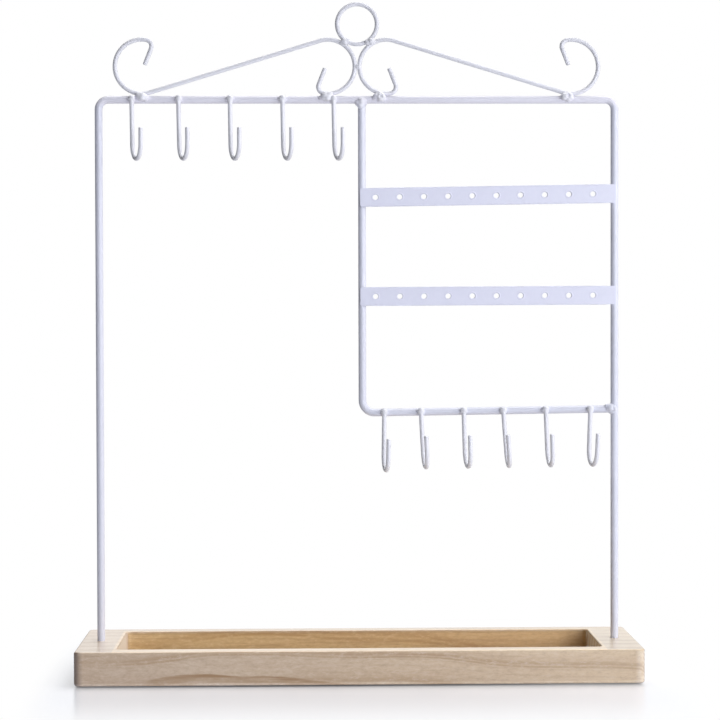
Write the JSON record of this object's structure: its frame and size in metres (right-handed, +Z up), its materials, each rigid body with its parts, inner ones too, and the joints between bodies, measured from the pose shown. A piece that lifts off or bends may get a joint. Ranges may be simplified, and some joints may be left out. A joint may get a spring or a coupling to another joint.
{
  "type": "jewellery stand with open tray",
  "caption": "Wire jewellery stand in a wooden base with an open tray: scroll crest, necklace hooks on one side, perforated earring bars above bracelet hooks on the other.",
  "frame": {"origin": "middle of the base's footprint, on the surface that the pads stand on", "axes": "+X along the base to the right as seen from the hooks' open side, +Y to the back, +Z up"},
  "size_m": [0.3, 0.08, 0.3635],
  "materials": {
    "pine": "sanded, thin clear matt lacquer",
    "coated_steel": "satin white powder coat, baked over the welded frame",
    "zinc_plate": "bright zinc plating",
    "pad_rubber": "matt"
  },
  "bodies": {
    "root": {"wood_base": "pine", "main_frame_hoop": "coated_steel", "panel_frame_rod": "coated_steel", "earring_bar_upper": "coated_steel", "earring_bar_lower": "coated_steel", "crest_scroll_left": "coated_steel", "crest_scroll_right": "coated_steel", "crest_ring": "coated_steel", "necklace_hook_1": "coated_steel", "necklace_hook_2": "coated_steel", "necklace_hook_3": "coated_steel", "necklace_hook_4": "coated_steel", "necklace_hook_5": "coated_steel", "bracelet_hook_1": "coated_steel", "bracelet_hook_2": "coated_steel", "bracelet_hook_3": "coated_steel", "bracelet_hook_4": "coated_steel", "bracelet_hook_5": "coated_steel", "bracelet_hook_6": "coated_steel", "post_washer_left": "zinc_plate", "post_washer_right": "zinc_plate", "post_nut_left": "zinc_plate", "post_nut_right": "zinc_plate", "foot_pad_1": "pad_rubber", "foot_pad_2": "pad_rubber", "foot_pad_3": "pad_rubber", "foot_pad_4": "pad_rubber"}
  },
  "joints": []
}
